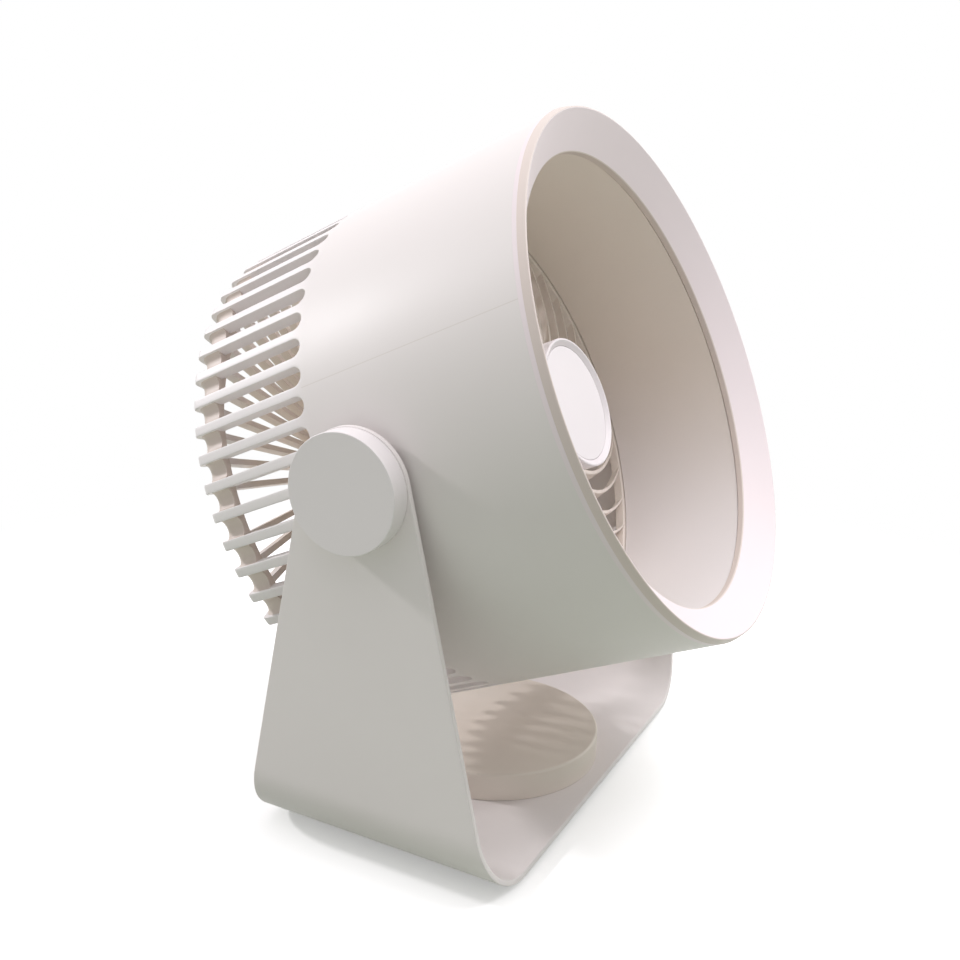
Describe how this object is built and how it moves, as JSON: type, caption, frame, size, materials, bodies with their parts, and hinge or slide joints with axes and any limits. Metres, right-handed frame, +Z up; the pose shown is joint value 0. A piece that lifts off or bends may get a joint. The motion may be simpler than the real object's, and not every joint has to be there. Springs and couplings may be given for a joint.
{
  "type": "air circulator fan",
  "caption": "Table-top air circulator: slatted round drum with swirled front grille, tilting between the tapered arms of a bent strap stand.",
  "frame": {"origin": "on the ground under the tilt axis, in the face of the anti-slip pad, midway between the arms", "axes": "+Z up, -Y to the front of the fan, +X to the right-hand arm seen from the front; the drum is stored nose up by 23.7 degrees"},
  "size_m": [0.224, 0.2112, 0.2668],
  "materials": {
    "casing": "satin off-white",
    "inner": "satin warm off-white",
    "cap": "satin off-white",
    "dark_plastic": "matte black",
    "grey_plastic": "satin grey",
    "pad": "matte",
    "steel": "zinc plated",
    "ballast": "raw",
    "motor": "satin",
    "copper": "enamelled",
    "board": "lacquered"
  },
  "bodies": {
    "stand": {"yoke_bracket": "casing", "anti_slip_pad": "pad", "base_disc": "casing", "ballast_plate": "ballast", "base_screw_1": "steel", "base_screw_2": "steel", "base_screw_3": "steel", "arm_bush_left": "dark_plastic", "arm_bush_right": "dark_plastic", "pivot_cap_left": "cap", "pivot_cap_right": "cap"},
    "drum": {"drum_housing": "casing", "bezel_ring": "casing", "air_duct": "inner", "front_grille": "inner", "hub_cap": "cap", "grille_screw_1": "steel", "grille_screw_2": "steel", "grille_screw_3": "steel", "grille_screw_4": "steel", "friction_washer_left": "grey_plastic", "friction_washer_right": "grey_plastic", "pivot_bolt_left": "steel", "pivot_bolt_right": "steel", "pivot_nut_left": "steel", "pivot_nut_right": "steel", "motor_mount": "inner", "rear_cover": "casing", "cover_screw_1": "steel", "cover_screw_2": "steel", "cover_screw_3": "steel", "control_board": "board", "tact_switch": "dark_plastic", "power_inlet": "dark_plastic", "motor_lead": "dark_plastic", "motor_rear_shell": "motor", "motor_front_shell": "motor", "stator_core": "steel", "stator_coil_rear": "copper", "stator_coil_front": "copper", "bearing_rear": "steel", "bearing_front": "steel", "motor_screw_1": "steel", "motor_screw_2": "steel", "motor_screw_3": "steel"},
    "impeller": {"impeller": "inner", "impeller_nut": "dark_plastic", "motor_shaft": "steel", "rotor_core": "motor"},
    "button": {"speed_button": "grey_plastic"}
  },
  "joints": [
    {"name": "drum_tilt", "type": "hinge", "parent": "stand", "child": "drum", "pos_m": [0, 0, 0.1452], "axis": [-1, 0, 0], "range_deg": [-23.7, 66.3]},
    {"name": "impeller_spin", "type": "hinge", "parent": "drum", "child": "impeller", "pos_m": [0, 0, 0.1452], "axis": [0, -0.9157, 0.4019], "continuous": true},
    {"name": "button_press", "type": "slide", "parent": "drum", "child": "button", "axis": [0, -0.9157, 0.4019], "range_m": [0, 0.0012], "stiffness_N_per_m": 1200}
  ]
}
